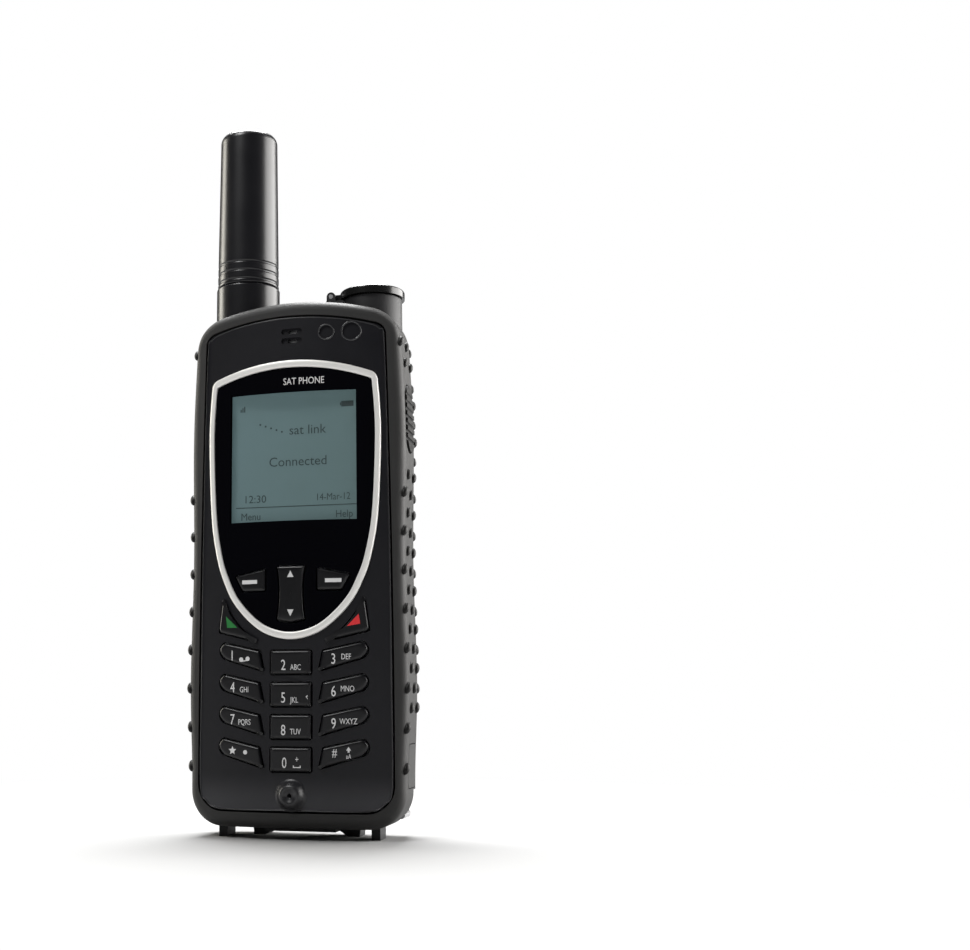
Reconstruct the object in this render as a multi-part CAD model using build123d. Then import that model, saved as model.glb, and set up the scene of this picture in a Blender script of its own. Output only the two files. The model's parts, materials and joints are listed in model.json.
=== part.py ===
"""Handheld satellite telephone with a pull-up antenna, 60 x 27 x 193 mm, standing on its feet.

Millimetres, +Z up. The keypad faces -Y, the phone's right side (seen from the front) is +X.
The origin is the centre of the footprint, on the floor. Front pieces share one crown: a very
large upright cylinder that makes the face bulge 3.3 mm from its edges to its middle.
"""
from build123d import *
from math import asin, cos, sin
import os

os.makedirs("parts", exist_ok=True)

# ---- Driving dimensions -------------------------------------------------------------
HALF_DEPTH = 13.5          # footprint half depth: microphone boss in front, battery behind
SIDE_REACH = 30.2          # grip nubs and volume rocker reach this far to each side
UNDERSIDE = 2.8            # underside of the rubber body, above the feet
BODY_TOP = 139.5           # top of the rubber body on the centre line
FACE_Y = -11.5             # front plate on the centre line
CROWN_R = 95.0             # radius of the crowned face
SHELL_BACK = 10.0          # rear face of the rubber and housing
REAR_EDGE = 5.0            # rounding of the rubber's rear edge
SEAM_Y = -4.9              # front and rear housing meet here
WALL = 1.6                 # housing wall
RUBBER = 2.6               # rubber wall
GROOVE = 0.5               # dark groove between front plate and rubber
PLATE_THICK = 1.7          # front plate
RING_WIDTH = 1.45          # silver ring around the lens, at its sides
RING_SPREAD = 1.3          # how much wider it is at its top and foot
KEY_GAP = 0.35             # gap round each key
KEY_PROUD = 0.75           # keys stand this far out of the plate
KEY_BACK = -7.0            # rear face of every key
FLANGE = 0.5               # key flange under the plate
KEY_PITCH = 8.1            # row pitch of the number keys
ROW_Z = 44.2               # middle of the top row's centre key
NAV_Z = 62.0               # waist of the navigation key
TOWER_Y = 2.2              # antenna and turret axis, front to back
ANTENNA_X = -16.5
ANTENNA_TOP = 192.8
COLLAR_TOP = 147.5
MAST_R = 5.0
TURRET_X = 19.0
TURRET_R = 8.0
COVER_R = 8.75
HINGE_X = 8.4              # emergency cover hinge
HINGE_Z = 142.7
NUB_PITCH = 10.0
NUB_FIRST_Z = 17.8
NUB_ROOT = 0.9             # nub depth inside the rubber
NUB_PROUD = 0.95
SIDE_KEY_Z = 108.0
ROCKER_Z = 107.3
FLAP_Y = 2.0               # connector flap centre
FLAP_Z = 18.2
BAY_FLOOR = 5.6
BATTERY_Z = (14.0, 95.6)
MIC_Z = 11.1
EAR_Z = 129.8
WINDOW_Z = 97.8            # middle of the display
REACH = 14.0               # cutters start this far in front


# ---- Helpers -------------------------------------------------------------------------
def slab(outline, front, rear):
    """Plate with an outline drawn in x and z, from y = front to y = rear."""
    plane = Plane(origin=(0, rear, 0), x_dir=(1, 0, 0), z_dir=(0, -1, 0))
    return extrude(plane * outline, amount=rear - front)


def side_slab(outline, low, high):
    """Plate with an outline drawn in y and z, from x = low to x = high."""
    plane = Plane(origin=(low, 0, 0), x_dir=(0, 1, 0), z_dir=(1, 0, 0))
    return extrude(plane * outline, amount=high - low)


def block(x, y, z):
    """Box from three (low, high) pairs."""
    size = [high - low for low, high in (x, y, z)]
    middle = [(high + low) / 2 for low, high in (x, y, z)]
    return Pos(*middle) * Box(*size)


def rod_x(radius, low, high, y, z):
    """Round bar along X."""
    return Pos((low + high) / 2, y, z) * Rot(0, 90, 0) * Cylinder(radius, high - low)


def rod_y(radius, low, high, x, z):
    """Round bar along Y."""
    return Pos(x, (low + high) / 2, z) * Rot(90, 0, 0) * Cylinder(radius, high - low)


def rod_z(radius, low, high, x, y):
    """Round bar along Z."""
    return Pos(x, y, (low + high) / 2) * Cylinder(radius, high - low)


def crown(lift):
    """Everything behind the crowned face, moved out by lift."""
    return Pos(0, FACE_Y + CROWN_R, BODY_TOP / 2) * Cylinder(CROWN_R + lift, 2 * BODY_TOP)


def both_halves(half):
    """Face from a function that draws the right (+1) or left (-1) half of an outline."""
    return make_face(Curve() + half(1) + half(-1))


def moved_in(points, first, last, inset):
    """Points of an outline, drawn foot to top up the right side, moved inwards by inset.

    Each moves square to the line between its neighbours; first and last are the end directions.
    """
    ends = [Vector(*first).normalized(), Vector(*last).normalized()]
    chords = [(Vector(*after) - Vector(*before)).normalized() for before, after in zip(points, points[2:])]
    along = [ends[0], *chords, ends[1]]
    return [(x - inset * way.Y, z + inset * way.X) for (x, z), way in zip(points, along)]


def flipped(shape):
    """The same shape on the other side of the phone."""
    return mirror(shape, about=Plane.YZ)


def save(shape, node):
    export_step(shape, f"parts/{node}.step")


# ---- Outlines, x and z ----------------------------------------------------------------
def body_outline(inset=0):
    """Outer edge of the rubber body: round foot corners, slight waist, arched top."""
    corner = (19.4, 11.8)
    radius = 9.0 - inset
    bend = radius * 0.7071
    points = [(28.4, 11.8), (29.2, 35), (28.7, 70), (29.2, 104), (28.4, 126), (26.8, 133.2), (21.0, 137.2)]
    points = moved_in(points, (0, 1), (-1, 0.247), inset)

    def half(s):
        return [
            Line((0, UNDERSIDE + inset), (s * corner[0], UNDERSIDE + inset)),
            ThreePointArc((s * corner[0], UNDERSIDE + inset), (s * (corner[0] + bend), corner[1] - bend),
                          (s * points[0][0], points[0][1])),
            Spline(*[(s * x, z) for x, z in points], tangents=[(0, 1), (-s, 0.247)]),
            ThreePointArc((s * points[-1][0], points[-1][1]), (s * (10.4 - 0.12 * inset), 138.92 - 0.99 * inset),
                          (0, BODY_TOP - inset)),
        ]
    return both_halves(half)


def plate_outline(inset=0):
    """Edge of the front plate."""
    def half(s):
        return [
            Line((0, 7.2 + inset), (s * (25.5 - inset), 7.2 + inset)),
            ThreePointArc((s * (25.5 - inset), 7.2 + inset), (s * (25.45 - inset), 70),
                          (s * (24.4 - inset), 131.6 - inset)),
            ThreePointArc((s * (24.4 - inset), 131.6 - inset), (s * 12.5, 134.1 - inset), (0, 134.95 - inset)),
        ]
    face = both_halves(half)
    corners = face.vertices().filter_by(lambda v: abs(v.X) > 20)
    face = fillet(corners.filter_by(lambda v: v.Y < 20), 6.5 - inset)
    high = face.vertices().filter_by(lambda v: v.Y > 128 and abs(v.X) > 20)
    return fillet(high, 3.0 - min(inset, 1.8))


def shield_outline(inset=0):
    """Outer edge of the silver ring: arched top, square shoulders, U-shaped foot."""
    points = [(0, 50.0), (6.7, 51.5), (11.7, 55), (16.1, 60), (18.6, 65), (20.4, 70), (22.3, 80),
              (23.2, 94), (23.4, 107), (22.6, 119.0)]
    inner = moved_in(points, (1, 0), (-0.15, 1), inset)
    rise = RING_SPREAD * inset
    right = [(x, z + rise - inset if z < 70 else z) for x, z in inner[:-1]]
    right += [(22.6 - 0.98 * inset, 119.0 - 0.8 * rise)]
    left = [(-x, z) for x, z in right[:0:-1]]
    sides = Spline(*left, *right)
    arch = ThreePointArc(right[-1], (0, 123.2 - rise), left[0])
    face = make_face(sides + arch)
    high = face.vertices().filter_by(lambda v: v.Y > 110)
    return fillet(high, 3.0 - 0.5 * inset)


def centre_key_outline(row):
    """Opening of a middle-column key."""
    middle = ROW_Z - KEY_PITCH * row
    face = Pos(0, middle) * Rectangle(11.4, 6.6)
    return fillet(face.vertices(), 0.8)


def outer_key_outline(row, side):
    """Opening of a left (-1) or right (+1) key: slants down inwards, with a round outer end."""
    drop = KEY_PITCH * row
    top = Line((18.4, 49.6 - drop), (8.1, 47.4 - drop))
    inner = Line((8.1, 47.4 - drop), (6.9, 41.6 - drop))
    bottom = Line((6.9, 41.6 - drop), (18.0, 44.8 - drop))
    end = ThreePointArc((18.0, 44.8 - drop), (20.0, 47.4 - drop), (18.4, 49.6 - drop))
    face = make_face(top + inner + bottom + end)
    face = fillet(face.vertices(), 0.7)
    return face if side > 0 else flipped(face)


def softkey_outline(side):
    """Opening of a key under the display, 1 for right, -1 for left."""
    face = make_face(Polyline((6.6, 68.6), (15.9, 66.7), (13.4, 62.2), (6.6, 62.2), close=True))
    face = fillet(face.vertices(), 0.8)
    return face if side > 0 else flipped(face)


def nav_outline():
    """Opening of the tall waisted navigation key."""
    top = Line((-4.1, 69.1), (4.1, 69.1))
    right = ThreePointArc((4.1, 69.1), (3.4, NAV_Z), (4.1, 54.8))
    bottom = ThreePointArc((4.1, 54.8), (0, 54.1), (-4.1, 54.8))
    left = ThreePointArc((-4.1, 54.8), (-3.4, NAV_Z), (-4.1, 69.1))
    face = make_face(top + right + bottom + left)
    return fillet(face.vertices(), 0.8)


def phone_key_outline(side):
    """Opening of the call (-1) or end (+1) key, a triangle that hugs the ring."""
    upright = Line((19.1, 61.6), (20.4, 51.9))
    bottom = Line((20.4, 51.9), (8.2, 49.0))
    curved = ThreePointArc((8.2, 49.0), (14.4, 54.2), (19.1, 61.6))
    face = make_face(upright + bottom + curved)
    face = fillet(face.vertices(), 0.7)
    return face if side > 0 else flipped(face)


BODY = body_outline()
CORE = body_outline(RUBBER)
CAVITY = body_outline(RUBBER + WALL)
PLATE = plate_outline()
PLATE_INSIDE = plate_outline(WALL)
SHIELD = shield_outline()
LENS = shield_outline(RING_WIDTH)

PLATE_KEYS = {"call_key": phone_key_outline(-1), "end_key": phone_key_outline(1)}
KEY_NAMES = [["1", "2", "3"], ["4", "5", "6"], ["7", "8", "9"], ["star", "0", "hash"]]
for row, names in enumerate(KEY_NAMES):
    PLATE_KEYS[f"key_{names[0]}"] = outer_key_outline(row, -1)
    PLATE_KEYS[f"key_{names[1]}"] = centre_key_outline(row)
    PLATE_KEYS[f"key_{names[2]}"] = outer_key_outline(row, 1)
LENS_KEYS = {"softkey_left": softkey_outline(-1), "softkey_right": softkey_outline(1), "nav_key": nav_outline()}


# ---- Envelopes that several pieces share -----------------------------------------------
def shell_envelope():
    """Outside of the rubber body with its rounded front and rear edges."""
    solid = slab(BODY, -REACH, SHELL_BACK) & crown(0.2)
    front = solid.faces().sort_by(Axis.Y)[0].edges()
    solid = fillet(front, 2.6)
    rear = solid.faces().sort_by(Axis.Y)[-1].edges()
    return fillet(rear, REAR_EDGE)


def turret_envelope():
    """Neck of the emergency turret with the block under its hinge."""
    neck = rod_z(TURRET_R, 129.5, 141.5, TURRET_X, TOWER_Y)
    heel = block((HINGE_X - 1.3, TURRET_X), (TOWER_Y - 4.2, TOWER_Y + 4.2), (137.5, 141.5))
    return neck + heel


def collar_envelope():
    return rod_z(8.75, 132, COLLAR_TOP, ANTENNA_X, TOWER_Y)


def guide_envelope():
    return rod_z(6.2, 98, COLLAR_TOP - 0.8, ANTENNA_X, TOWER_Y)


def flap_recess(gap):
    """Space of the connector flap on the right side, gap smaller all round."""
    outline = Pos(FLAP_Y, FLAP_Z) * Rectangle(10.8 - 2 * gap, 11.2 - 2 * gap)
    outline = fillet(outline.vertices(), 1.2)
    return side_slab(outline, 27.2 + gap, 33)


def side_key_recess(gap):
    outline = Pos(0, SIDE_KEY_Z) * SlotOverall(18.6 - 2 * gap, 9.4 - 2 * gap, rotation=90)
    return side_slab(outline, 26.6, 33)


def rocker_recess(gap):
    outline = Pos(0, ROCKER_Z) * SlotOverall(19.4 - 2 * gap, 7.4 - 2 * gap, rotation=90)
    return side_slab(outline, -33, -26.2)


def lanyard_recess():
    return block((19.9, 33), (3.2, 8.8), (0, 12.2))


def foot_blocks():
    """Two front feet and two sloping rear lugs, right side first."""
    front = block((19.05, 21.35), (-4.5, 2.0), (0, 6.0))
    outline = make_face(Polyline((8.0, 5.0), (14.8, 5.0), (14.2, 0), (11.2, 0), (8.0, 2.0), close=True))
    rear = slab(outline, 3.0, 9.0)
    return [front, rear, flipped(front), flipped(rear)]


def connector_block():
    """Body of the dock connector in the underside."""
    return block((-9.5, 9.5), (-3.6, 2.4), (1.6, 8.2))


SHELL = shell_envelope()
TURRET = turret_envelope()
COLLAR = collar_envelope()
GUIDE = guide_envelope()
SCREW_SPOTS = [(x, z) for x in (-21.8, 21.8) for z in (28.0, 88.0)]


# ---- Casings ---------------------------------------------------------------------------
def front_housing():
    """Crowned front plate with its skirt and every opening."""
    solid = slab(PLATE, -REACH, SEAM_Y - 0.3) & crown(0)
    solid -= slab(PLATE_INSIDE, -REACH, SEAM_Y) & crown(-PLATE_THICK)
    solid -= slab(SHIELD, -REACH, SEAM_Y)
    for outline in PLATE_KEYS.values():
        solid -= slab(outline, -REACH, SEAM_Y)
    for z in (EAR_Z + 1.25, EAR_Z - 1.25):
        recess = Pos(0.1, z) * SlotOverall(5.7, 1.6)
        hole = Pos(0.1, z) * SlotOverall(2.6, 1.0)
        solid -= slab(recess, -REACH, FACE_Y + 0.6)
        solid -= slab(hole, -REACH, SEAM_Y)
    for x, radius in ((9.4, 2.1), (16.0, 2.6)):
        solid -= rod_y(radius, -REACH, SEAM_Y, x, 130.4)
    return solid - rod_y(4.1, -REACH, SEAM_Y, 0, MIC_Z) - COLLAR - TURRET


def grip_overmould():
    """Rubber surround bonded to the housing's edge."""
    solid = SHELL - slab(plate_outline(-GROOVE), -REACH, SEAM_Y) - slab(CORE, SEAM_Y, SHELL_BACK)
    solid -= flap_recess(0)
    solid -= side_key_recess(0)
    solid -= rocker_recess(0)
    solid -= lanyard_recess()
    solid -= rod_x(2.8, 20, 30, FLAP_Y, FLAP_Z)
    solid -= rod_x(1.4, 22, 28, 0, SIDE_KEY_Z)
    for piece in (TURRET, COLLAR, connector_block(), volume_pin(), lanyard_bar(), *foot_blocks()):
        solid -= piece
    return solid


def nub_spots():
    """Side, y and z of every grip nub: five columns a side, alternate ones half a pitch up.

    Beside the buttons only the two rear columns go on, moved back clear of them.
    """
    spots = []
    for side in (-1, 1):
        for column in range(5):
            for step in range(12):
                y = -6.0 + 3.4 * column
                z = NUB_FIRST_Z + NUB_PITCH * (step + 0.5 * (column % 2))
                if 96 < z < 120:
                    y = max(y, 6.4)
                on_button = 94 < z < 121 and column < 3
                on_flap = side > 0 and z < 28 and -5 < y < 8.5
                if z < 130 and not (on_button or on_flap):
                    spots.append((side, y, z))
    return spots


def half_width(z):
    """Half width of the rubber body at a height, from points along its side."""
    side = body_outline().edges().filter_by(lambda e: e.center().X > 27).sort_by(Axis.Y)[-1]
    points = sorted((side.position_at(step / 40) for step in range(41)), key=lambda p: p.Y)
    for below, above in zip(points, points[1:]):
        if below.Y <= z <= above.Y:
            return below.X + (above.X - below.X) * (z - below.Y) / (above.Y - below.Y)
    return points[0].X


def grip_nubs():
    """Raised oval nubs rooted in the rubber, long axis leaning forward."""
    peg = extrude(Ellipse(1.6, 0.95, rotation=62), amount=NUB_ROOT + NUB_PROUD, taper=9)
    bend = SHELL_BACK - REAR_EDGE
    nubs = []
    for side, y, z in nub_spots():
        turn = asin(max(y - bend, 0) / REAR_EDGE)
        out = Vector(cos(turn), sin(turn), 0)
        axis = Vector(half_width(z) - REAR_EDGE, min(y, bend), z)
        root = axis + out * (REAR_EDGE - NUB_ROOT)
        nub = Plane(origin=root, x_dir=(-out.Y, out.X, 0), z_dir=out) * peg
        nubs.append(nub if side > 0 else flipped(nub))
    return Compound(children=nubs)


def volume_pin():
    return rod_y(0.6, -5.0, 5.0, -28.0, ROCKER_Z)


def lanyard_bar():
    return rod_y(1.0, 2.2, 9.6, 25.3, 5.8)


def rear_housing():
    """Rear half of the case: room for the electronics in front, battery bay behind, raised back above."""
    solid = SHELL & slab(CORE, SEAM_Y, SHELL_BACK)
    hump = Pos(0, 116) * Rectangle(42, 36)
    hump = slab(fillet(hump.vertices(), 6), SHELL_BACK - 1, 12.6)
    hump = fillet(hump.faces().sort_by(Axis.Y)[-1].edges(), 2.0)
    solid += hump
    room = slab(CAVITY, SEAM_Y, 4.0)
    room -= block((18.4, 33), (1.8, 5), (0, 13.7))
    for x, z in SCREW_SPOTS:
        room -= rod_y(2.3, SEAM_Y, 4.0, x, z)
    solid -= room
    bay = block((-24.2, 24.2), (BAY_FLOOR, 20), (BATTERY_Z[0] - 0.25, BATTERY_Z[1] + 0.25))
    solid -= bay
    solid -= block((-8.2, 8.2), (SHELL_BACK, 20), (97, 107.5))
    solid -= block((-3.0, 3.0), (7.4, SHELL_BACK), (98.0, 106.8))
    for x, z in SCREW_SPOTS:
        solid -= rod_y(1.0, -3.5, 6, x, z)
        solid -= rod_y(1.9, 4.6, 6, x, z)
    for x in (-4.5, -1.5, 1.5, 4.5):
        solid -= block((x - 0.6, x + 0.6), (3, 7), (86, 90))
    solid -= rod_y(8.7, 3.5, 9.6, 3.0, 119.0)
    for step in range(5):
        slot = Pos(3.0, 115.0 + 2.0 * step) * SlotOverall(9.0, 1.0)
        solid -= slab(slot, 9, 13)
    solid -= rod_x(2.8, 18, 30, FLAP_Y, FLAP_Z)
    solid -= rod_x(1.4, 22, 28, 0, SIDE_KEY_Z)
    solid -= rocker_recess(0)
    solid -= lanyard_recess()
    for piece in (TURRET, COLLAR, GUIDE, connector_block(), lanyard_bar(), *foot_blocks()):
        solid -= piece
    return solid


def housing_screws():
    screws = []
    for x, z in SCREW_SPOTS:
        head = rod_y(1.9, 4.6, 5.5, x, z) - rod_y(0.6, 5.0, 6.0, x, z)
        screws.append(rod_y(1.0, -3.5, 4.6, x, z) + head)
    return Compound(children=screws)


def case_seal():
    return slab(PLATE, SEAM_Y - 0.3, SEAM_Y) - slab(PLATE_INSIDE, -REACH, 0) - COLLAR - TURRET


# ---- Display, ring and sound -------------------------------------------------------------
def trim_ring():
    """Silver ring, proud of the plate and of the lens."""
    solid = slab(SHIELD, -REACH, -6.0) & crown(0.8)
    return solid - slab(LENS, -REACH, 0) - crown(-PLATE_THICK)


def display_lens():
    """Lens inside the ring, with openings for the three keys in it."""
    solid = (slab(LENS, -REACH, -6.0) & crown(0.15)) - crown(-1.1)
    for outline in LENS_KEYS.values():
        solid -= slab(outline, -REACH, 0)
    return solid


def display_panel():
    return block((-19.2, 19.2), (-8.2, -6.8), (77.5, 118.0))


def display_frame():
    frame = block((-20.0, 20.0), (-6.8, -5.5), (76.5, 119.0))
    return frame - block((-16.0, 16.0), (-6.0, -5.0), (82.0, 114.0))


def sensor_windows():
    discs = []
    for x, radius in ((9.4, 2.1), (16.0, 2.6)):
        disc = rod_y(radius, -REACH, SEAM_Y, x, 130.4) & crown(-0.35)
        discs.append(disc - crown(-1.5))
    return Compound(children=discs)


def earpiece():
    body = rod_y(3.6, -9.5, -6.6, 0.1, EAR_Z)
    return body - rod_y(2.6, -9.6, -9.0, 0.1, EAR_Z)


def ringer_speaker():
    body = rod_y(8.4, 6.0, 9.4, 3.0, 119.0)
    return body - rod_y(6.0, 8.6, 9.6, 3.0, 119.0)


def mic_boss():
    """Volcano-shaped boss round the microphone hole."""
    base = rod_y(4.1, FACE_Y - 0.2, -9.9, 0, MIC_Z)
    cone = Pos(0, (FACE_Y - 0.2 - HALF_DEPTH) / 2, MIC_Z) * Rot(90, 0, 0) * Cone(4.1, 3.0, HALF_DEPTH + FACE_Y - 0.2)
    solid = base + cone
    solid -= rod_y(1.9, -REACH, -12.6, 0, MIC_Z)
    return solid - rod_y(0.6, -REACH, -9.0, 0, MIC_Z)


def microphone():
    return rod_y(3.0, -9.6, -7.4, 0, MIC_Z)


# ---- Keys ----------------------------------------------------------------------------------
def key(outline, face_lift, under, play=0.2):
    """Key with a crowned cap and a flange, with some play, behind the sheet it comes through."""
    cap = slab(offset(outline, amount=-KEY_GAP), -REACH, KEY_BACK) & crown(face_lift)
    rim = cap.faces().sort_by(Axis.Y)[0].edges()
    cap = chamfer(rim, 0.25)
    flange = slab(offset(outline, amount=FLANGE), -REACH, KEY_BACK) & crown(-under - play)
    return cap + flange


def keypad_membrane():
    sheet = block((-21.3, 21.3), (-6.4, -5.7), (15.0, 71.0))
    for outline in [*PLATE_KEYS.values(), *LENS_KEYS.values()]:
        middle = outline.bounding_box().center()
        sheet += rod_y(1.5, -5.7, -5.3, middle.X, middle.Y)
    return sheet


# ---- Electronics ---------------------------------------------------------------------------
def main_board():
    return block((-19.0, 19.0), (-5.3, -4.1), (14.0, 124.0))


def radio_shield():
    """Folded metal can over the radio, open to the board."""
    can = block((-17.0, 17.0), (-4.1, -0.6), (34.0, 80.0))
    return can - block((-16.6, 16.6), (-4.2, -1.0), (34.4, 79.6))


def radio_module():
    return block((-15.0, 15.0), (-4.1, -1.4), (37.0, 77.0))


def sim_holder():
    """Card holder on the board with the card's slot through it."""
    holder = block((-8.0, 8.0), (-4.1, -1.9), (16.0, 31.0))
    return holder - block((-7.0, 7.0), (-3.3, -2.5), (15.0, 29.5))


def battery_terminals():
    pins = [block((x - 0.6, x + 0.6), (3.0, 5.7), (86, 90)) for x in (-4.5, -1.5, 1.5, 4.5)]
    return Compound(children=pins)


# ---- Underside and side ----------------------------------------------------------------------
def feet():
    inner = slab(CAVITY, SEAM_Y, 4.0)
    return Compound(children=[block_piece - inner for block_piece in foot_blocks()])


def dock_connector():
    """Connector body with a slot for the dock's tongue."""
    return connector_block() - block((-8.0, 8.0), (-2.1, 0.9), (1.0, 6.0))


def dock_contacts():
    pins = [block((x - 0.4, x + 0.4), (-0.2, 0.9), (3.0, 6.0)) for x in (-7, -5, -3, -1, 1, 3, 5, 7)]
    return Compound(children=pins)


def data_socket():
    barrel = rod_x(2.8, 18.5, 27.1, FLAP_Y, FLAP_Z)
    return barrel - rod_x(1.3, 19.7, 28, FLAP_Y, FLAP_Z)


def port_flap():
    """Rubber flap, flush with the grip, that covers the socket."""
    solid = flap_recess(0.2) & SHELL
    return solid


def side_key():
    """Large push key in an oval well, with grip ribs and a plunger through the case."""
    body = side_key_recess(0.3) & SHELL.moved(Location((0.5, 0, 0)))
    body &= block((27.4, 33), (-10, 10), (90, 125))
    for step in range(-3, 4):
        body -= rod_y(0.45, -10, 10, 29.6, SIDE_KEY_Z + 2.0 * step)
    return body + rod_x(1.1, 25.4, 27.6, 0, SIDE_KEY_Z)


def volume_rocker():
    """Two-lobed rocker on a cross pin."""
    body = rocker_recess(0.3) & block((-29.3, -27.0), (-10, 10), (90, 125))
    lobe = SlotOverall(7.2, 5.0, rotation=90)
    for z in (ROCKER_Z + 5.4, ROCKER_Z - 5.4):
        body += side_slab(Pos(0, z) * lobe, -SIDE_REACH, -29.0)
    return body - rod_y(0.65, -6, 6, -28.0, ROCKER_Z)


# ---- Antenna -----------------------------------------------------------------------------------
def antenna_collar():
    edge = fillet(COLLAR.edges().group_by(Axis.Z)[-1], 0.5)
    return edge - GUIDE - rod_z(MAST_R + 0.3, 140, 150, ANTENNA_X, TOWER_Y)


def antenna_guide():
    return GUIDE - rod_z(MAST_R + 0.05, 90, 160, ANTENNA_X, TOWER_Y)


def antenna_sleeve():
    """Tapered cover with three finger grooves near its foot."""
    low = COLLAR_TOP + 0.3
    shell = Pos(ANTENNA_X, TOWER_Y, (low + ANTENNA_TOP) / 2) * Cone(8.5, 7.95, ANTENNA_TOP - low)
    shell = fillet(shell.edges().group_by(Axis.Z)[-1], 2.4)
    shell = fillet(shell.edges().group_by(Axis.Z)[0], 0.3)
    for step in range(3):
        groove = Pos(ANTENNA_X, TOWER_Y, low + 1.1 + 2.45 * step) * Torus(8.7, 0.55)
        shell -= groove
    shell -= rod_z(6.9, low + 1.6, ANTENNA_TOP - 3.2, ANTENNA_X, TOWER_Y)
    return shell - rod_z(MAST_R, low - 1, low + 3, ANTENNA_X, TOWER_Y)


def antenna_core():
    core = rod_z(6.6, 152, 188, ANTENNA_X, TOWER_Y)
    return core - rod_z(MAST_R, 151, 170, ANTENNA_X, TOWER_Y)


def antenna_mast():
    mast = rod_z(MAST_R, 100, 170, ANTENNA_X, TOWER_Y)
    return mast - rod_z(3.6, 99, 169, ANTENNA_X, TOWER_Y)


# ---- Emergency turret -----------------------------------------------------------------------------
def knuckles():
    ears = []
    for middle in (TOWER_Y - 3.45, TOWER_Y + 3.45):
        ear = block((HINGE_X - 1.2, HINGE_X + 1.2), (middle - 0.75, middle + 0.75), (141.0, HINGE_Z))
        ears.append(ear + rod_y(1.2, middle - 0.75, middle + 0.75, HINGE_X, HINGE_Z))
    return ears


def sos_turret():
    """Neck that holds the emergency button under its cover."""
    solid = TURRET - rod_z(5.5, 133.5, 142, TURRET_X, TOWER_Y)
    for ear in knuckles():
        solid += ear
    return solid - hinge_pin()


def hinge_pin():
    return rod_y(0.6, TOWER_Y - 4.2, TOWER_Y + 4.2, HINGE_X, HINGE_Z)


def sos_cover():
    """Round lid with one hinge ear."""
    disc = rod_z(COVER_R, 141.8, 144.0, TURRET_X, TOWER_Y)
    disc = fillet(disc.edges().group_by(Axis.Z)[-1], 0.6)
    ear = block((HINGE_X, 12.5), (TOWER_Y - 2.5, TOWER_Y + 2.5), (141.8, 143.5))
    ear += rod_y(0.85, TOWER_Y - 2.5, TOWER_Y + 2.5, HINGE_X, HINGE_Z)
    return disc + ear - rod_y(0.65, TOWER_Y - 3, TOWER_Y + 3, HINGE_X, HINGE_Z)


def sos_button():
    button = rod_z(5.2, 135.2, 141.2, TURRET_X, TOWER_Y)
    return fillet(button.edges().group_by(Axis.Z)[-1], 0.6)


# ---- Battery -----------------------------------------------------------------------------------------
def battery_case():
    solid = block((-24.0, 24.0), (5.8, HALF_DEPTH), BATTERY_Z)
    solid = fillet(solid.edges().filter_by(Axis.Y), 3.0)
    solid = fillet(solid.faces().sort_by(Axis.Y)[-1].edges(), 2.4)
    return solid - block((-21.5, 21.5), (7.0, 12.2), (17.0, 92.6))


def battery_cells():
    return Compound(children=[block((x - 10.2, x + 10.2), (7.2, 12.0), (18.0, 91.6)) for x in (-10.6, 10.6)])


def battery_latch():
    """Ribbed slide that locks the battery, with its stem in the case."""
    thumb = block((-7.6, 7.6), (SHELL_BACK + 0.2, 12.4), (97.3, 103.8))
    thumb = fillet(thumb.edges().filter_by(Axis.Y), 1.2)
    for step in range(3):
        thumb -= rod_x(0.5, -6.4, 6.4, 12.5, 99.0 + 1.6 * step)
    return thumb + block((-2.7, 2.7), (7.7, SHELL_BACK + 0.3), (98.3, 103.3))


# ---- Build every node -----------------------------------------------------------------------------------
for node, outline in PLATE_KEYS.items():
    save(key(outline, KEY_PROUD, PLATE_THICK), node)
for node, outline in LENS_KEYS.items():
    rocks = node == "nav_key"
    save(key(outline, 0.6, 1.1, 0.7 if rocks else 0.2), node)

PIECES = [
    front_housing, grip_overmould, grip_nubs, rear_housing, housing_screws, case_seal, trim_ring,
    display_lens, display_panel, display_frame, sensor_windows, earpiece, ringer_speaker, mic_boss,
    microphone, keypad_membrane, main_board, radio_shield, radio_module, sim_holder, battery_terminals,
    feet, dock_connector, dock_contacts, data_socket, port_flap, side_key, volume_rocker, volume_pin,
    lanyard_bar, antenna_collar, antenna_guide, antenna_sleeve, antenna_core, antenna_mast, sos_turret,
    hinge_pin, sos_cover, sos_button, battery_case, battery_cells, battery_latch,
]
for piece in PIECES:
    save(piece(), piece.__name__)
print("nodes:", len(PIECES) + len(PLATE_KEYS) + len(LENS_KEYS))
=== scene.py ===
# %% [markdown]
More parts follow.
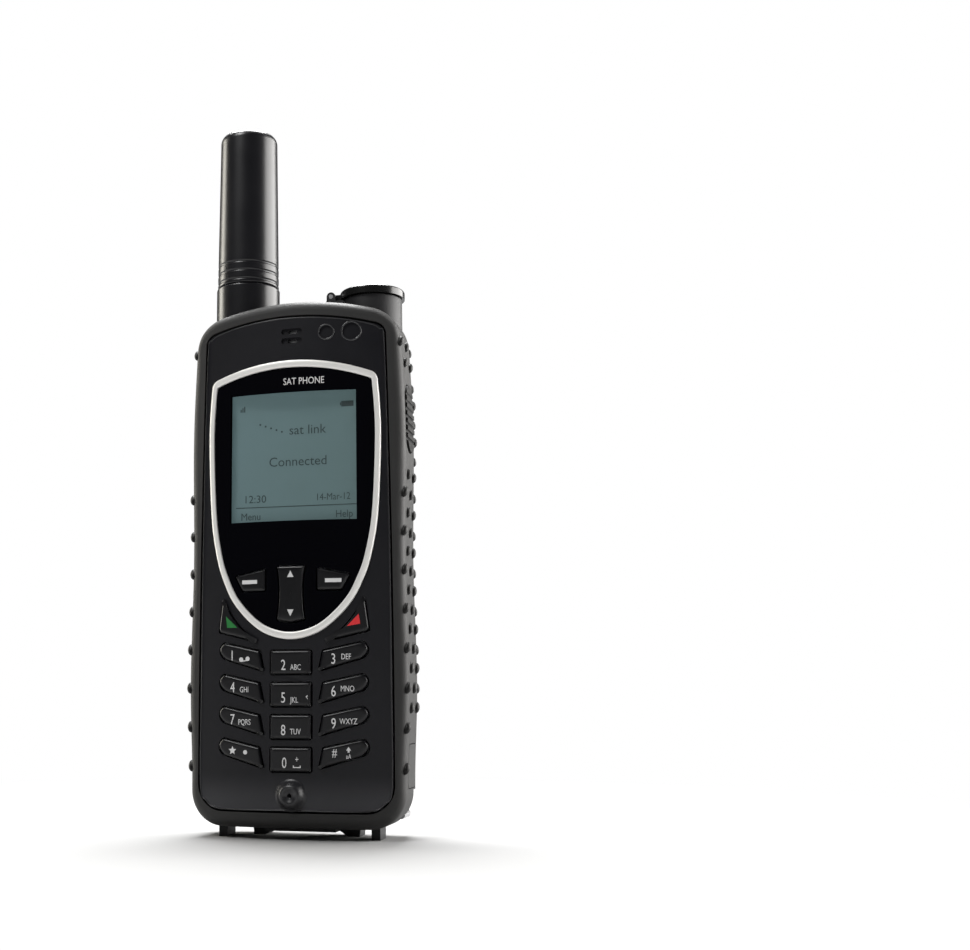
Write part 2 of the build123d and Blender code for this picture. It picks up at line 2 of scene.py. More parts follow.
# # A rugged satellite phone
# The imported model already holds every working piece at its real size: casings, keys, hinges, battery.
# This lesson loads it as a fixed frame, in metres, and dresses it. Pieces whose surface the eye
# lingers on (keys, ring, nubs, lettering) are made again as smooth surfaces worked out
# with numpy; every other piece keeps its mesh and gets a finish made of shader nodes.

# %% The frame
import bpy
import json
import numpy as np
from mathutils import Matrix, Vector


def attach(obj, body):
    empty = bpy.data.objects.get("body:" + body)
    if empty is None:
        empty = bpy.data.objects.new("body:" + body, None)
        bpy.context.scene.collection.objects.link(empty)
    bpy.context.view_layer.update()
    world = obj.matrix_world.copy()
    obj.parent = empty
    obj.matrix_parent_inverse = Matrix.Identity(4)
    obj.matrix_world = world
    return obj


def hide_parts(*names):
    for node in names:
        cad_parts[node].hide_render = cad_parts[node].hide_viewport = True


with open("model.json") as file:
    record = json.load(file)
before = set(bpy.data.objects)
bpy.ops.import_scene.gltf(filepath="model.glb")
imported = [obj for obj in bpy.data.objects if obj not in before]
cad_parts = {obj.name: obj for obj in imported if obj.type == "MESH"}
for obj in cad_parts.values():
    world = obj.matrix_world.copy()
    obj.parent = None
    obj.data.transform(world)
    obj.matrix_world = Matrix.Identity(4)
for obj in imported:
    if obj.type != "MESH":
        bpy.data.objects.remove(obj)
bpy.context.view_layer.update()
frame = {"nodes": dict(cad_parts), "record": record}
MM = 0.001

# %% [markdown]
# ## Surfaces from numbers
# A piece is a grid of points: one direction runs along the grid's rows, the other along its
# columns. `skin` joins neighbours into four-sided faces, can wrap either direction round, and can
# close each end with a fan, so that lathed and pillow-shaped pieces come out as closed shells.

# %% Turning a grid of points into a mesh
def skin(name, grid, around=True, along=False, cap_first=False, cap_last=False):
    """Mesh from a grid of points, rows x columns x 3, in millimetres.

    Face (i, j) joins points (i, j), (i, j+1), (i+1, j+1), (i+1, j); around wraps the columns,
    along wraps the rows, and a cap joins a whole end row to its average point.
    """
    rows, columns, _ = grid.shape
    number = np.arange(rows * columns).reshape(rows, columns)
    if around:
        number = np.concatenate([number, number[:, :1]], axis=1)
    if along:
        number = np.concatenate([number, number[:1]], axis=0)
    quads = np.stack([number[:-1, :-1], number[:-1, 1:], number[1:, 1:], number[1:, :-1]], axis=-1)
    faces = quads.reshape(-1, 4).tolist()
    points = [grid.reshape(-1, 3)]
    total = rows * columns
    for wanted, row, flip in ((cap_first, 0, True), (cap_last, rows - 1, False)):
        if wanted:
            ring = number[row]
            middle = np.full(len(ring) - 1, total)
            fan = np.stack([ring[:-1], ring[1:], middle], axis=-1)
            faces += (fan[:, ::-1] if flip else fan).tolist()
            points.append(grid[row].mean(axis=0, keepdims=True))
            total += 1
    return mesh_piece(name, np.concatenate(points), faces)


def mesh_piece(name, points, faces, smooth=True):
    """Object from points in millimetres and faces, its place in its mesh."""
    mesh = bpy.data.meshes.new(name)
    mesh.from_pydata((points * MM).tolist(), [], faces)
    mesh.polygons.foreach_set("use_smooth", np.full(len(faces), smooth))
    mesh.update()
    piece = bpy.data.objects.new(name, mesh)
    bpy.context.scene.collection.objects.link(piece)
    return piece


def lathe(name, profile, origin, axis="z", steps=96):
    """Turned piece: radius and height pairs spun round an upright (z) or forward (y) axis.

    Point = origin + (radius cos t, radius sin t) across the axis + height along it.
    A forward axis counts height towards the viewer, -y.
    """
    radius, height = np.array(profile, float).T
    turn = np.linspace(0, 2 * np.pi, steps, endpoint=False)
    across, up = radius[:, None] * np.cos(turn), radius[:, None] * np.sin(turn)
    level = np.repeat(height[:, None], steps, axis=1)
    grid = np.stack([across, up, level] if axis == "z" else [across, -level, up], axis=-1)
    return skin(name, grid + np.array(origin), cap_first=True, cap_last=True)


# %% [markdown]
# ## The crown
# The face of the phone is part of a very large upright cylinder. Anything printed on or standing
# out of the face has to follow it, so one function gives the depth of the crown at any x.

# %% Depth of the crowned face
FACE_Y, CROWN_R = -11.5, 95.0


def crown(x, lift=0.0):
    """Depth y at x: the cylinder's axis is at y = face + radius, and lift makes it larger."""
    return FACE_Y + CROWN_R - np.sqrt((CROWN_R + lift) ** 2 - np.asarray(x) ** 2)


print("crown depth from middle to plate edge:", round(float(crown(25.0) - crown(0.0)), 2), "mm")

# %% [markdown]
# ## Writing shaders as expressions
# A `Wire` is a value travelling between shader nodes. With its operators overloaded, `1 - mask * 0.5`
# adds the Math nodes by itself. A `Finish` is one material: it adds any node through one method.

# %% Wire and Finish
class Wire:
    """One output socket, usable in arithmetic."""

    def __init__(self, finish, socket):
        self.finish, self.socket = finish, socket

    def math(self, operation, first, second=0.0):
        return self.finish.node("ShaderNodeMath", {"operation": operation}, {0: first, 1: second})

    def __add__(self, other):
        return self.math("ADD", self, other)

    def __sub__(self, other):
        return self.math("SUBTRACT", self, other)

    def __rsub__(self, other):
        return self.math("SUBTRACT", other, self)

    def __mul__(self, other):
        return self.math("MULTIPLY", self, other)

    def __truediv__(self, other):
        return self.math("DIVIDE", self, other)

    def __gt__(self, other):
        return self.math("GREATER_THAN", self, other)

    def __lt__(self, other):
        return self.math("LESS_THAN", self, other)

    def __abs__(self):
        return self.math("ABSOLUTE", self)

    __radd__, __rmul__ = __add__, __mul__


class Finish:
    """A material with one Principled shader."""

    def __init__(self, name, color, roughness, **constants):
        self.material = bpy.data.materials.new(name)
        self.material.use_nodes = True
        self.tree = self.material.node_tree
        self.shader = self.tree.nodes["Principled BSDF"]
        self.shader.inputs["Base Color"].default_value = (*color, 1.0)
        self.shader.inputs["Roughness"].default_value = roughness
        for socket, value in constants.items():
            self.shader.inputs[socket.replace("_", " ")].default_value = value

    def node(self, kind, settings, inputs, output=0):
        """Add a node: settings first (a ramp's stops among them), then values or Wires by socket."""
        node = self.tree.nodes.new(kind)
        for key, value in settings.items():
            if key == "stops":
                for spot, (place, tone) in enumerate(value):
                    stop = node.color_ramp.elements[spot] if spot < 2 else node.color_ramp.elements.new(place)
                    stop.position, stop.color = place, tone
            else:
                setattr(node, key, value)
        for socket, value in inputs.items():
            if isinstance(value, Wire):
                self.tree.links.new(value.socket, node.inputs[socket])
            else:
                node.inputs[socket].default_value = value
        return Wire(self, node.outputs[output])

    def feed(self, socket, wire):
        self.tree.links.new(wire.socket, self.shader.inputs[socket])

    def place(self):
        """Object coordinates in millimetres."""
        spot = self.node("ShaderNodeTexCoord", {}, {}, "Object")
        return self.node("ShaderNodeVectorMath", {"operation": "SCALE"}, {0: spot, "Scale": 1000.0})

    def axes(self):
        split = self.node("ShaderNodeSeparateXYZ", {}, {0: self.place()})
        return [split, *(Wire(self, split.socket.node.outputs[k]) for k in (1, 2))]

    def noise(self, size, detail=3.0, roughness=0.55):
        """Noise value whose features are about `size` millimetres wide."""
        return self.node("ShaderNodeTexNoise", {}, {"Vector": self.place(), "Scale": 1 / size,
                                                    "Detail": detail, "Roughness": roughness})

    def mix(self, factor, first, second):
        """Blend of two colours."""
        return self.node("ShaderNodeMix", {"data_type": "RGBA"}, {"Factor": factor, 6: first, 7: second}, 2)

    def bump(self, height, depth, strength=1.0):
        """Bump from a height of 0..1 that stands for `depth` millimetres."""
        self.feed("Normal", self.node("ShaderNodeBump", {}, {"Height": height, "Strength": strength,
                                                             "Distance": depth * MM}))


# %% [markdown]
# ## Moulded plastics and rubber
# Black plastic is never one black. Spark-eroded moulds leave a fine grain that scatters the
# highlight; rubber has a softer, larger bloom and picks up pale dust. `moulded` makes all of them:
# a fine grain for the bump, and a slow cloud that varies colour and gloss.

# %% Moulded finishes
def moulded(name, color, roughness, grain=0.12, depth=0.012, cloud=0.12, dust=0.0, **constants):
    """Grained plastic or rubber: colour and roughness vary by cloud, dust adds a pale bloom."""
    finish = Finish(name, color, roughness, **constants)
    slow = finish.noise(9.0, 4.0)
    fine = finish.noise(grain, 2.0)
    dark = tuple(c * (1 - cloud) for c in color) + (1.0,)
    pale = tuple(c * (1 + cloud) + dust for c in color) + (1.0,)
    finish.feed("Base Color", finish.mix(slow, dark, pale))
    finish.feed("Roughness", slow * 0.10 + (roughness - 0.05))
    finish.bump(fine, depth)
    return finish.material




def plate_finish():
    """Moulded plastic, paler on the chin below about z = 14 mm: a painted reflection of the pale floor."""
    finish = Finish("plate_plastic", (0.0035, 0.0035, 0.0055), 0.42, Specular_IOR_Level=0.30)
    _, _, z = finish.axes()
    chin = finish.node("ShaderNodeMapRange", {"interpolation_type": "SMOOTHSTEP"},
                       {"Value": z, 1: 17.0, 2: 8.5})
    cloud = finish.noise(9.0, 4.0)
    tone = finish.mix(cloud, (0.0030, 0.0030, 0.0048, 1), (0.0042, 0.0042, 0.0064, 1))
    # Painted reflection: the plate turns paler towards its chin, as if it mirrored the pale floor.
    finish.feed("Base Color", finish.mix(chin * 0.9, tone, (0.034, 0.034, 0.038, 1)))
    finish.feed("Roughness", cloud * 0.10 + 0.37)
    finish.bump(finish.noise(0.16, 2.0), 0.010)
    return finish.material


PLATE = plate_finish()
GRIP = moulded("grip_rubber", (0.017, 0.0167, 0.0163), 0.60, grain=0.10, depth=0.012, dust=0.002,
               Specular_IOR_Level=0.34)
# Painted shade: the nubs are the grip's own rubber, coloured about five times darker than it.
NUB = moulded("nub_rubber_painted_shade", (0.0035, 0.0033, 0.0030), 0.45, Specular_IOR_Level=0.22)
HOUSING = moulded("housing_plastic", (0.010, 0.010, 0.011), 0.52, grain=0.30, depth=0.03,
                  Specular_IOR_Level=0.35)
ANTENNA = moulded("antenna_plastic", (0.006, 0.006, 0.0075), 0.30, grain=0.20, depth=0.003)
KEY = moulded("key_plastic", (0.0035, 0.0035, 0.0045), 0.30, grain=0.20, depth=0.003, Specular_IOR_Level=0.35)
GLOSS = moulded("gloss_black", (0.006, 0.006, 0.006), 0.24, grain=0.4, depth=0.001)
LATCH = moulded("latch_plastic", (0.030, 0.030, 0.032), 0.5)
MEMBRANE = moulded("silicone", (0.30, 0.31, 0.32), 0.6)
BOARD = moulded("board_laminate", (0.02, 0.12, 0.06), 0.4)
MODULE = moulded("module_plastic", (0.12, 0.12, 0.13), 0.5)
ALERT = moulded("alert_red", (0.50, 0.04, 0.02), 0.35)
DIFFUSER = moulded("diffuser_white", (0.72, 0.72, 0.70), 0.5)
print("moulded finishes ready")

# %% [markdown]
# ## Metals
# The ring is plated plastic with a satin polish; pins and screws are turned steel. Both get a very
# fine brushed noise stretched along the height of the piece.

# %% Metal finishes
def metal(name, color, roughness, brushed=0.06, metallic=1.0):
    """Metal whose roughness is combed by a noise stretched twelve times along z."""
    finish = Finish(name, color, roughness, Metallic=metallic)
    combed = finish.node("ShaderNodeMapping", {}, {"Vector": finish.place(), "Scale": (6.0, 6.0, 0.5)})
    grain = finish.node("ShaderNodeTexNoise", {}, {"Vector": combed, "Scale": 1.0, "Detail": 3.0})
    finish.feed("Roughness", grain * (2 * brushed) + (roughness - brushed))
    finish.bump(grain, 0.002)
    return finish.material


RING = metal("satin_silver", (0.80, 0.79, 0.76), 0.42, metallic=0.35)
STEEL = metal("turned_steel", (0.50, 0.50, 0.51), 0.35)
GOLD = metal("contact_gold", (0.80, 0.60, 0.25), 0.25)
MAST = metal("anodised_black", (0.04, 0.04, 0.045), 0.35)
CELLS = metal("cell_foil", (0.60, 0.61, 0.63), 0.3)

# %% [markdown]
# ## Lens and display
# The lens is clear with black print behind it, apart from a square window. The print is a mask on
# Object coordinates that feeds Alpha: one inside the print, nearly nothing in the window. The display
# behind it is a grey-teal sheet with a faint cell grid and a slow drift of tone; it also glows with
# that tone, painted light that softens the shade the lens edge casts across its top.

# %% Lens and display finishes
WINDOW_HALF, WINDOW_Z = 17.15, 97.75


def lens_finish():
    """Black gloss, see-through inside the square window."""
    finish = Finish("lens_gloss", (0.002, 0.002, 0.003), 0.05, Specular_IOR_Level=0.08)
    x, _, z = finish.axes()
    inside = (abs(x) < WINDOW_HALF) * (abs(z - WINDOW_Z) < WINDOW_HALF)
    finish.feed("Alpha", 1 - inside * 0.97)
    return finish.material


def display_finish():
    """Liquid crystal: base tone, darker to the right, over a 0.25 mm cell grid, glowing with that tone as
    painted light against the lens's shade.
    """
    finish = Finish("display_glass", (0.13, 0.21, 0.21), 0.35, Emission_Strength=0.42)
    x, _, z = finish.axes()
    slope = x * 0.010 + finish.noise(14.0) * 0.35 + 0.28
    tone = finish.mix(slope, (0.150, 0.235, 0.250, 1), (0.095, 0.145, 0.142, 1))
    grid = finish.node("ShaderNodeTexChecker", {}, {"Vector": finish.place(), "Scale": 4.0}, 1)
    lit = finish.mix(grid * 0.06, tone, (0.05, 0.09, 0.09, 1))
    finish.feed("Base Color", finish.mix(0.45, lit, (0, 0, 0, 1)))
    # Painted light: the sheet glows with its own tone to soften the shade the lens edge casts on its top.
    finish.feed("Emission Color", lit)
    finish.feed("Roughness", grid * 0.05 + 0.32)
    return finish.material


LENS = lens_finish()
DISPLAY = display_finish()
INK_WHITE = moulded("legend_white", (0.62, 0.62, 0.62), 0.5)
INK_DARK = moulded("display_ink", (0.030, 0.050, 0.052), 0.5)
INK_GREEN = moulded("legend_green", (0.010, 0.16, 0.030), 0.4)
INK_RED = moulded("legend_red", (0.62, 0.020, 0.025), 0.4)

# %% Finishes for the pieces that keep their own mesh
BY_SLOT = {
    "plate": PLATE, "grip": GRIP, "nubs": NUB, "housing": HOUSING, "steel": STEEL, "seal": MEMBRANE,
    "silver_ring": RING, "lens": LENS, "display": DISPLAY, "light_frame": DIFFUSER, "gloss_black": GLOSS,
    "membrane": MEMBRANE, "board": BOARD, "module": MODULE, "gold": GOLD, "antenna": ANTENNA, "mast": MAST,
    "battery": HOUSING, "cells": CELLS, "alert": ALERT, "latch": LATCH, "keys": KEY,
}
for part in frame["record"]["subparts"]:
    node = frame["nodes"][part["node"]]
    node.data.materials.clear()
    node.data.materials.append(BY_SLOT[part["material_slot"]])
frame["nodes"]["sensor_windows"].data.materials[0] = PLATE


def dress(piece, material, body, slot, *replaced):
    """Finish a new piece, hang it on the body it rides on, and hide the frame pieces it replaces."""
    piece.data.materials.clear()
    piece.data.materials.append(material)
    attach(piece, body)
    if replaced:
        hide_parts(*replaced)
    return piece


# %% [markdown]
# ## Outlines
# A key or the ring starts as a closed line drawn in x and z. `loop` spreads points evenly along it
# and averages each with its neighbours over a short stretch, which rounds every corner. `bowed`
# gives the points of a gently curved side.

# %% Closed outlines
def bowed(start, via, stop, steps=9):
    """Points of the parabola through three points."""
    t = np.linspace(0, 1, steps)[:, None]
    start, via, stop = (np.array(point, float) for point in (start, via, stop))
    return ((1 - t) * (1 - 2 * t) * start + 4 * t * (1 - t) * via + t * (2 * t - 1) * stop).tolist()


def loop(points, soften=1.0, steps=160):
    """Even points round a closed line, each the average of its neighbours within soften millimetres."""
    line = np.array([*points, points[0]], float)
    length = np.r_[0, np.cumsum(np.hypot(*np.diff(line, axis=0).T))]
    spots = np.linspace(0, length[-1], steps * 4, endpoint=False)
    even = np.stack([np.interp(spots, length, line[:, k]) for k in (0, 1)], axis=-1)
    reach = max(1, int(soften / length[-1] * steps * 2))
    shifted = [np.roll(even, shift, axis=0) for shift in range(-reach, reach + 1)]
    return np.mean(shifted, axis=0)[::4]


def flowing(points, steps=12):
    """Smooth line through points: between two, a cubic whose end slopes come from their neighbours."""
    dots = np.array([points[0], *points, points[-1]], float)
    before, start, stop, after = dots[:-3, None], dots[1:-2, None], dots[2:-1, None], dots[3:, None]
    t = np.linspace(0, 1, steps, endpoint=False)[None, :, None]
    line = 0.5 * (2 * start + (stop - before) * t + (2 * before - 5 * start + 4 * stop - after) * t ** 2
                  + (3 * start - before - 3 * stop + after) * t ** 3)
    return [*line.reshape(-1, 2).tolist(), points[-1]]


def outward(line):
    """Unit normals of a closed line, pointing out of it."""
    along = np.roll(line, -1, axis=0) - np.roll(line, 1, axis=0)
    normal = np.stack([along[:, 1], -along[:, 0]], axis=-1) / np.hypot(*along.T)[:, None]
    area = np.sum(line[:, 0] * np.roll(line[:, 1], -1) - line[:, 1] * np.roll(line[:, 0], -1))
    return normal * np.sign(area)


def counterclockwise(line):
    area = np.sum(line[:, 0] * np.roll(line[:, 1], -1) - line[:, 1] * np.roll(line[:, 0], -1))
    return line if area > 0 else line[::-1]


# %% [markdown]
# ## Keys
# Every key is a cushion: a straight wall, a quarter-round edge, and a face that follows the crown.
# Row r of the grid is the outline moved in by radius * (1 - cos a) and lifted by radius * sin a;
# the last rows shrink to the middle. The row and column pitch repeat the frame's keypad.

# %% Key shapes
KEY_TOP, KEY_SOFT, KEY_BASE, KEY_GAP = 0.75, 0.62, -7.4, 0.32


def mirrored(points):
    return [(-x, z) for x, z in points]


def key_outlines():
    """Opening of every key, by body name."""
    shapes = {}
    names = [("1", "2", "3"), ("4", "5", "6"), ("7", "8", "9"), ("star", "0", "hash")]
    for row, (left, middle, right) in enumerate(names):
        drop = 8.1 * row
        centre = 44.2 - drop
        low, high = centre - 3.3, centre + 3.3
        shapes[f"key_{middle}"] = [(-5.7, low), (5.7, low), (5.7, high), (-5.7, high)]
        outer = [(8.1, 47.4 - drop), (6.9, 41.6 - drop),
                 *bowed((18.0, 44.8 - drop), (20.0, 47.4 - drop), (18.4, 49.6 - drop))]
        shapes[f"key_{right}"], shapes[f"key_{left}"] = outer, mirrored(outer)
    soft = [(6.6, 68.6), (6.6, 62.2), (13.4, 62.2), (15.9, 66.7)]
    shapes["softkey_right"], shapes["softkey_left"] = soft, mirrored(soft)
    phone = [(20.4, 51.9), *bowed((19.1, 61.6), (14.4, 54.2), (8.2, 49.0))]
    shapes["end_key"], shapes["call_key"] = phone, mirrored(phone)
    shapes["nav_key"] = [*bowed((-4.1, 69.1), (-3.4, 62.0), (-4.1, 54.8)), (0, 54.1),
                         *bowed((4.1, 54.8), (3.4, 62.0), (4.1, 69.1))]
    return shapes


def cushion(name, points, top, blunt):
    """Key cap: wall, rounded edge, crowned face; blunt is the rounding of its corners."""
    edge = counterclockwise(loop(points, blunt))
    out = outward(edge)
    middle = edge.mean(axis=0)
    rows = []
    bend = np.radians(np.linspace(0, 90, 7))
    moves = [(KEY_GAP, None)] + [(KEY_GAP + KEY_SOFT * (1 - np.cos(a)), top - KEY_SOFT * (1 - np.sin(a)))
                                 for a in bend]
    for inward, lift in moves:
        ring = edge - out * inward
        depth = np.full(len(ring), KEY_BASE) if lift is None else crown(ring[:, 0]) - lift
        rows.append(np.stack([ring[:, 0], depth, ring[:, 1]], axis=-1))
    rim = edge - out * (KEY_GAP + KEY_SOFT)
    for share in (0.8, 0.5, 0.2):
        ring = middle + (rim - middle) * share
        rows.append(np.stack([ring[:, 0], crown(ring[:, 0]) - top, ring[:, 1]], axis=-1))
    return skin(name, np.array(rows), cap_first=True, cap_last=True)


SHAPES = key_outlines()
for body, points in SHAPES.items():
    lens_key = body.startswith(("soft", "nav"))
    blunt = 3.0 if body in ("call_key", "end_key") else 1.8 if body.startswith("soft") else 1.1
    cap = cushion(f"cap_{body}", points, 0.6 if lens_key else KEY_TOP, blunt)
    dress(cap, KEY, body, "keys", body)
print("key caps:", len(SHAPES))

# %% [markdown]
# ## Silver ring
# The ring is swept round the display: at each point of its outer line the cross-section is half an
# ellipse that spans the ring's width and stands 0.8 mm out of the crown, closed by two legs. The
# ring is a third wider where it runs level, at its top and foot.

# %% Ring
RING_OUTER = [(0, 50.0), (6.7, 51.5), (11.7, 55), (16.1, 60), (18.6, 65), (20.4, 70), (22.3, 80),
              (23.2, 94), (23.4, 107), (22.6, 119.0)]
arch = bowed((22.6, 119.0), (0, 123.2), (-22.6, 119.0), 15)
sides = flowing([*mirrored(RING_OUTER[:0:-1]), *RING_OUTER])
ring_line = counterclockwise(loop([*sides, *arch[1:-1]], 3.4, 400))
out = outward(ring_line)
width = 1.45 * (1 + 0.3 * np.abs(out[:, 1]))
bends = np.radians(np.linspace(0, 180, 13))
sweep = [(0.0, -2.0), *[((1 - np.cos(a)) / 2, 0.35 + 0.45 * np.sin(a) ** 0.5) for a in bends], (1.0, -2.0)]
rows = []
for share, lift in sweep:
    line = ring_line - out * (width * share)[:, None]
    rows.append(np.stack([line[:, 0], crown(line[:, 0]) - lift, line[:, 1]], axis=-1))
ring = skin("ring_sweep", np.array(rows), along=True)
dress(ring, RING, "phone", "silver_ring", "trim_ring")

# %% [markdown]
# ## Grip nubs
# Each nub is half an egg, 3.2 by 1.9 mm, leaning forward, and rooted in the rubber. A ray sent
# inwards from each side finds the rubber's surface and the way it faces, so the nubs sit square
# on the flank and turn with its rear edge.

# %% Nubs
def nub_spots():
    """Side, depth and height of every nub: five columns a side, alternate ones half a pitch up."""
    for side in (-1, 1):
        for column in range(5):
            for step in range(12):
                y, z = -6.0 + 3.4 * column, 17.8 + 10.0 * (step + 0.5 * (column % 2))
                if 96 < z < 120:
                    y = max(y, 6.4)
                on_button = 94 < z < 121 and column < 3
                on_flap = side > 0 and z < 28 and -5 < y < 8.5
                if z < 130 and not (on_button or on_flap):
                    yield side, y, z


rise_steps, turn_steps = np.radians(np.linspace(-25, 82, 8)), np.linspace(0, 2 * np.pi, 20, endpoint=False)
rise, turn = np.meshgrid(rise_steps, turn_steps, indexing="ij")
egg = np.stack([1.6 * np.cos(rise) * np.cos(turn), 0.95 * np.cos(rise) * np.sin(turn), 0.93 * np.sin(rise)],
               axis=-1)
lean = np.radians(62)
rubber = frame["nodes"]["grip_overmould"]
eggs = []
for side, y, z in nub_spots():
    found, spot, facing, _ = rubber.ray_cast(Vector((side * 40, y, z)) * MM, Vector((-side, 0, 0)))
    facing = np.array([side * np.hypot(facing.x, facing.z), facing.y, 0.0])
    facing /= np.linalg.norm(facing)
    level = np.array([-side * facing[1], abs(facing[0]), 0.0])
    long = level * np.cos(lean) + np.array([0, 0, np.sin(lean)])
    short = np.cross(facing, long)
    eggs.append(egg @ np.stack([long, short, facing]) + np.array(spot) / MM)
quads, points = [], []
for order, grid in enumerate(eggs):
    number = np.arange(egg[..., 0].size).reshape(egg.shape[:2]) + order * (egg[..., 0].size + 2)
    number = np.concatenate([number, number[:, :1]], axis=1)
    corners = [number[:-1, :-1], number[:-1, 1:], number[1:, 1:], number[1:, :-1]]
    quads += np.stack(corners, -1).reshape(-1, 4).tolist()
    top, foot = number[-1, 0] + egg.shape[1], number[-1, 0] + egg.shape[1] + 1
    quads += [[a, b, top] for a, b in zip(number[-1, :-1].tolist(), number[-1, 1:].tolist())]
    quads += [[b, a, foot] for a, b in zip(number[0, :-1].tolist(), number[0, 1:].tolist())]
    points += [grid.reshape(-1, 3), grid[-1].mean(axis=0, keepdims=True), grid[0].mean(axis=0, keepdims=True)]
nubs = mesh_piece("nub_eggs", np.concatenate(points), [[int(k) for k in quad] for quad in quads])
dress(nubs, NUB, "phone", "nubs", "grip_nubs")
print("nubs:", len(eggs))

# %% [markdown]
# ## Lettering
# Digits, letters and signs are drawn as flat curves, turned into meshes, and bent onto the crown:
# a point (x, z) of the drawing goes to depth crown(x) - lift. They ride with the key they mark.

# %% Drawing marks
def drawn(kind, fill, place, scale):
    """Flat drawing as points and faces: a text, or polygons, from a curve 0.04 mm thick."""
    data = bpy.data.curves.new("mark", kind)
    data.dimensions, data.fill_mode, data.extrude, data.resolution_u = "2D", "BOTH", 0.02, 3
    data.offset = 0.0
    if kind == "FONT":
        data.body, data.align_x, data.align_y = fill, "CENTER", "CENTER"
    else:
        for polygon in fill:
            line = data.splines.new("POLY")
            line.points.add(len(polygon) - 1)
            for point, (x, z) in zip(line.points, polygon):
                point.co = (x, z, 0, 1)
            line.use_cyclic_u = True
    piece = bpy.data.objects.new("mark", data)
    bpy.context.scene.collection.objects.link(piece)
    mesh = bpy.data.meshes.new_from_object(piece.evaluated_get(bpy.context.evaluated_depsgraph_get()))
    flat = np.empty(len(mesh.vertices) * 3, np.float32)
    mesh.vertices.foreach_get("co", flat)
    faces = [list(polygon.vertices) for polygon in mesh.polygons]
    bpy.data.objects.remove(piece)
    flat = flat.reshape(-1, 3).astype(float)
    across, up = flat[:, 0] * scale[0] + place[0], flat[:, 1] * scale[1] + place[1]
    return np.stack([across, flat[:, 2], up], axis=-1), faces


def marks(name, drawings, surface, material, body, slot):
    """One piece from several drawings, laid on a surface given as depth from x."""
    points, faces, total = [], [], 0
    for kind, fill, place, scale in drawings:
        flat, own = drawn(kind, fill, place, scale)
        flat[:, 1] = surface(flat[:, 0]) - flat[:, 1]
        points.append(flat)
        faces += [[index + total for index in face] for face in own]
        total += len(flat)
    return dress(mesh_piece(name, np.concatenate(points), faces, smooth=False), material, body, slot)


def text(words, x, z, tall, squeeze=0.72):
    """Capitals `tall` millimetres high; Blender's letters are 0.73 of their size."""
    return ("FONT", words, (x, z), (tall / 0.73 * squeeze, tall / 0.73))


def shape(*polygons):
    return ("CURVE", polygons, (0, 0), (1, 1))


def disc(x, z, radius, steps=20):
    turn = np.linspace(0, 2 * np.pi, steps, endpoint=False)
    return np.stack([x + radius * np.cos(turn), z + radius * np.sin(turn)], axis=-1).tolist()


def bar(x, z, wide, tall):
    left, right, low, high = x - wide / 2, x + wide / 2, z - tall / 2, z + tall / 2
    return [(left, low), (right, low), (right, high), (left, high)]


def star(x, z, radius):
    turn = np.radians(90 + 36 * np.arange(10))
    reach = np.where(np.arange(10) % 2, 0.45, 1.0) * radius
    return np.stack([x + reach * np.cos(turn), z + reach * np.sin(turn)], axis=-1).tolist()


# %% Key legends
TALL, SMALL = 2.75, 1.5
LEGENDS = {
    "key_1": [text("1", -16.0, 45.9, TALL), shape(disc(-13.4, 45.0, 0.58), disc(-11.6, 45.2, 0.58)),
              shape([(-13.4, 44.42), (-11.6, 44.62), (-11.6, 44.92), (-13.4, 44.72)])],
    "key_2": [text("2", -1.8, 43.4, TALL), text("ABC", 1.45, 42.9, SMALL)],
    "key_3": [text("3", 11.2, 44.9, TALL), text("DEF", 14.4, 45.5, SMALL)],
    "key_4": [text("4", -15.8, 37.8, TALL), text("GHI", -12.5, 37.3, SMALL)],
    "key_5": [text("5", -1.8, 35.2, TALL), text("JKL", 1.1, 34.7, SMALL),
              shape([(4.1, 35.6), (4.6, 36.0), (4.6, 35.7), (4.35, 35.45), (4.6, 35.2), (4.6, 34.9)])],
    "key_6": [text("6", 11.2, 36.8, TALL), text("MNO", 14.7, 37.5, SMALL)],
    "key_7": [text("7", -15.8, 29.7, TALL), text("PQRS", -12.4, 29.1, SMALL)],
    "key_8": [text("8", -1.8, 27.1, TALL), text("TUV", 1.4, 26.8, SMALL)],
    "key_9": [text("9", 11.2, 28.8, TALL), text("WXYZ", 14.9, 29.4, SMALL)],
    "key_star": [shape(star(-15.7, 22.0, 1.15)), shape(disc(-12.1, 21.6, 0.55))],
    "key_0": [text("0", -1.5, 19.0, TALL), text("+", 1.8, 19.9, 1.7),
              shape([(0.8, 18.5), (0.8, 17.9), (2.8, 17.9), (2.8, 18.5),
                     (2.55, 18.5), (2.55, 18.15), (1.05, 18.15), (1.05, 18.5)])],
    "key_hash": [text("#", 11.4, 21.7, 2.2),
                 shape([(14.3, 22.3), (14.9, 23.2), (15.5, 22.3), (15.15, 22.3),
                        (15.15, 21.8), (14.65, 21.8), (14.65, 22.3)]),
                 text("aA", 14.9, 20.8, 1.2)],
    "nav_key": [shape([(-0.85, 65.9), (0.85, 65.9), (0, 67.6)]),
                shape([(-0.85, 57.6), (0.85, 57.6), (0, 55.9)])],
    "softkey_left": [shape(bar(-11.2, 64.9, 4.2, 1.0))],
    "softkey_right": [shape(bar(11.2, 64.9, 4.2, 1.0))],
}
for body, drawings in LEGENDS.items():
    top = 0.6 if body.startswith(("soft", "nav")) else KEY_TOP
    marks(f"legend_{body}", drawings, lambda x: crown(x) - top - 0.02, INK_WHITE, body, "light_frame")
marks("legend_call", [shape([(-17.9, 56.2), (-17.5, 53.2), (-14.6, 53.2)])],
      lambda x: crown(x) - KEY_TOP - 0.02,
      INK_GREEN, "call_key", "board")
marks("legend_end", [shape([(17.6, 56.3), (18.0, 53.8), (14.6, 53.2)])], lambda x: crown(x) - KEY_TOP - 0.02,
      INK_RED, "end_key", "alert")

